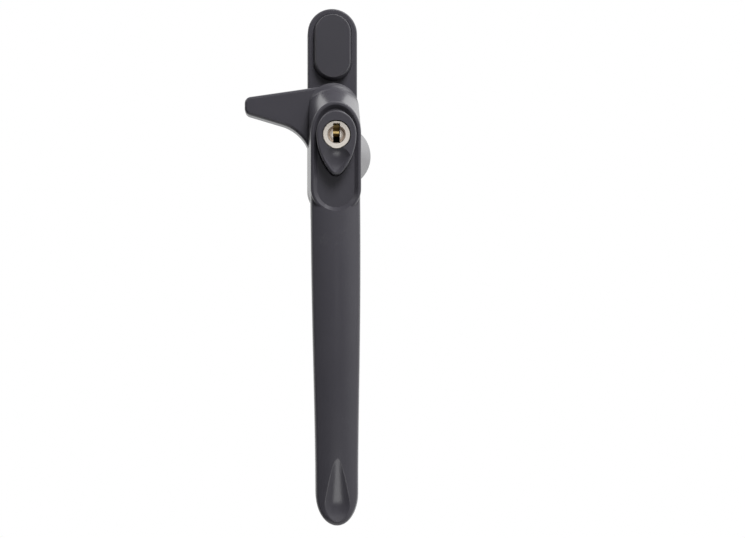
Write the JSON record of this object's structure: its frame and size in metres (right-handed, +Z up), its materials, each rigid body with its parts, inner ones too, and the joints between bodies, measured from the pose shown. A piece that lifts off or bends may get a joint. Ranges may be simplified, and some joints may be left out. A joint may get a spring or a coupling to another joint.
{
  "type": "cockspur handle",
  "caption": "Left-hand cockspur window handle: capsule base plate with a screw cover cap, turning lever with a spur, bowed grip and a key-locking push button",
  "frame": {"origin": "on the pivot axis, at the back face of the base plate, half way between the two fixing holes", "axes": "+X to the right as seen from the room, +Y into the window sash, +Z up along the base plate; the front faces -Y"},
  "size_m": [0.0504, 0.0432, 0.2006],
  "materials": {
    "powder_coat": "satin anthracite powder coat on zinc casting",
    "cap_plastic": "satin anthracite moulding",
    "nickel": "nickel plated, worn bright",
    "brass": "stamped brass",
    "steel": "turned, bright",
    "spring_steel": "oiled spring steel",
    "zinc_plate": "zinc plated",
    "nylon": "natural nylon"
  },
  "bodies": {
    "base": {"base_plate": "powder_coat", "screw_cover_cap": "cap_plastic", "pivot_bush": "brass", "friction_disc": "nylon"},
    "lever": {"lever": "powder_coat", "pivot_pin": "steel", "spring_washer": "spring_steel", "retaining_washer": "spring_steel", "retaining_clip": "spring_steel", "stop_pin": "steel", "button_pin": "steel", "button_spring": "spring_steel"},
    "button": {"push_button": "powder_coat", "lock_pin": "steel"},
    "key": {"key_plug": "nickel", "wafer_1": "brass", "wafer_2": "brass", "wafer_3": "brass", "wafer_4": "brass", "lock_cam": "zinc_plate", "cam_clip": "spring_steel"}
  },
  "joints": [
    {"name": "lever_turn", "type": "hinge", "parent": "base", "child": "lever", "pos_m": [0, 0, 0], "axis": [0, -1, 0], "range_deg": [0, 90]},
    {"name": "button_push", "type": "slide", "parent": "lever", "child": "button", "axis": [0, 1, 0], "range_m": [0, 0.0035], "stiffness_N_per_m": 600, "springref_m": -0.004, "deforming": ["button_spring"]},
    {"name": "key_turn", "type": "hinge", "parent": "button", "child": "key", "pos_m": [0, -0.0368, -0.0129], "axis": [0, -1, 0], "range_deg": [0, 90]}
  ]
}
